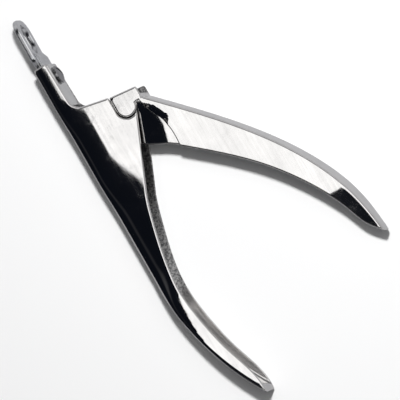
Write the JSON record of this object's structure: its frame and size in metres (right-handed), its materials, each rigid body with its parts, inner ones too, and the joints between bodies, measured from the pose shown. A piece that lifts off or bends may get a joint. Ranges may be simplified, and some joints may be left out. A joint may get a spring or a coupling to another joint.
{
  "type": "pet nail trimmer",
  "caption": "All-metal guillotine nail trimmer: folded steel body with a flat nail ring, and a lever that pushes a sprung blade across it.",
  "frame": {"origin": "on the flat cheek that the tool lies on, on the drive pin's line of travel and abreast of the lever's pivot", "axes": "+X is the blade's line of travel, from the nail ring to the handle tips; +Y goes from the body's back to the lever; +Z is the pivot axis, up from the cheek it lies on"},
  "size_m": [0.1382, 0.0702, 0.013],
  "materials": {
    "plated_body": "polished nickel plate on folded steel sheet",
    "plated_lever": "polished nickel plate on folded steel sheet",
    "ring_steel": "polished plate, punched hole edges",
    "cover_steel": "polished plate",
    "blade_steel": "hardened steel, ground bevel",
    "screw_steel": "plated screws, washer, rivets, post and stud",
    "slide_steel": "pressed steel, lightly oiled",
    "spring_steel": "spring wire, lightly oiled"
  },
  "bodies": {
    "body": {"fixed_handle": "plated_body", "nail_ring": "ring_steel", "ring_rivets": "screw_steel", "screw_post": "screw_steel", "cover_plate": "cover_steel", "lock_washer": "screw_steel", "cover_screw": "screw_steel", "spring_stud": "screw_steel"},
    "lever": {"moving_handle": "plated_lever"},
    "slide": {"blade_slide": "slide_steel", "drive_pin": "slide_steel", "blade": "blade_steel", "blade_screw": "screw_steel", "return_spring": "spring_steel"}
  },
  "joints": [
    {"name": "lever_pivot", "type": "hinge", "parent": "body", "child": "lever", "pos_m": [0, 0.016, 0.0065], "axis": [0, 0, -1], "range_deg": [0, 36], "stiffness_Nm_per_rad": 0.6, "springref_deg": -17.19},
    {"name": "blade_travel", "type": "slide", "parent": "body", "child": "slide", "axis": [-1, 0, 0], "range_m": [0, 0.0105], "deforming": ["return_spring"]}
  ],
  "couplings": [
    {"joint": "blade_travel", "follows": "lever_pivot", "m_per_rad": 0.01655}
  ]
}
